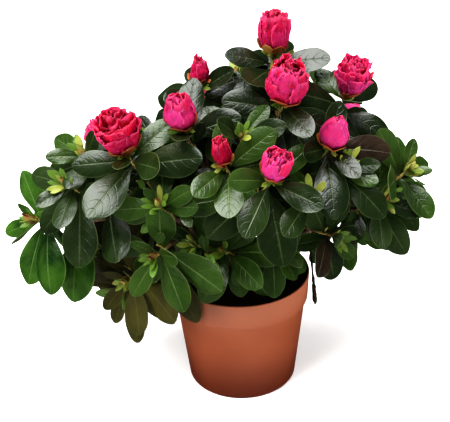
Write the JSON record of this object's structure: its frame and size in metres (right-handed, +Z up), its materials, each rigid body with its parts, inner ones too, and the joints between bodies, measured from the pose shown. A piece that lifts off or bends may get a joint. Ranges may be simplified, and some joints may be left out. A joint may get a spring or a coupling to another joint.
{
  "type": "potted azalea shrub",
  "caption": "Small evergreen azalea shrub in double pink bloom, with glossy dark leaves, standing in a plain round terracotta-coloured nursery pot.",
  "frame": {"origin": "centre of the pot's flat underside", "axes": "+Z up along the pot's axis, +X to the right and +Y to the back as the picture sees the plant"},
  "size_m": [0.3405, 0.2695, 0.3304],
  "materials": {
    "pot_plastic": "satin soft plastic, terracotta outside and black inside",
    "potting_soil": "crumbly dark peat",
    "bark": "rough grey-brown bark",
    "foliage": "leathery glossy leaf, paler underneath",
    "young_foliage": "soft light green leaf and bud",
    "petals": "thin velvety petal",
    "bud_scales": "papery brown scale"
  },
  "bodies": {
    "root": {"flower_pot": "pot_plastic", "potting_soil": "potting_soil", "trunk": "bark", "far_left_bough": "bark", "low_left_bough": "bark", "front_left_bough": "bark", "upper_left_bough": "bark", "centre_front_bough": "bark", "low_front_bough": "bark", "crown_bough": "bark", "upper_right_bough": "bark", "front_right_bough": "bark", "far_right_bough": "bark", "back_left_bough": "bark", "back_crown_bough": "bark", "back_middle_bough": "bark", "back_right_bough": "bark", "low_back_bough": "bark", "low_right_bough": "bark", "far_left_foliage": "foliage", "low_left_foliage": "foliage", "front_left_foliage": "foliage", "upper_left_foliage": "foliage", "centre_front_foliage": "foliage", "low_front_foliage": "foliage", "crown_foliage": "foliage", "upper_right_foliage": "foliage", "front_right_foliage": "foliage", "far_right_foliage": "foliage", "back_left_foliage": "foliage", "back_crown_foliage": "foliage", "back_middle_foliage": "foliage", "back_right_foliage": "foliage", "low_back_foliage": "foliage", "low_right_foliage": "foliage"}
  },
  "joints": []
}
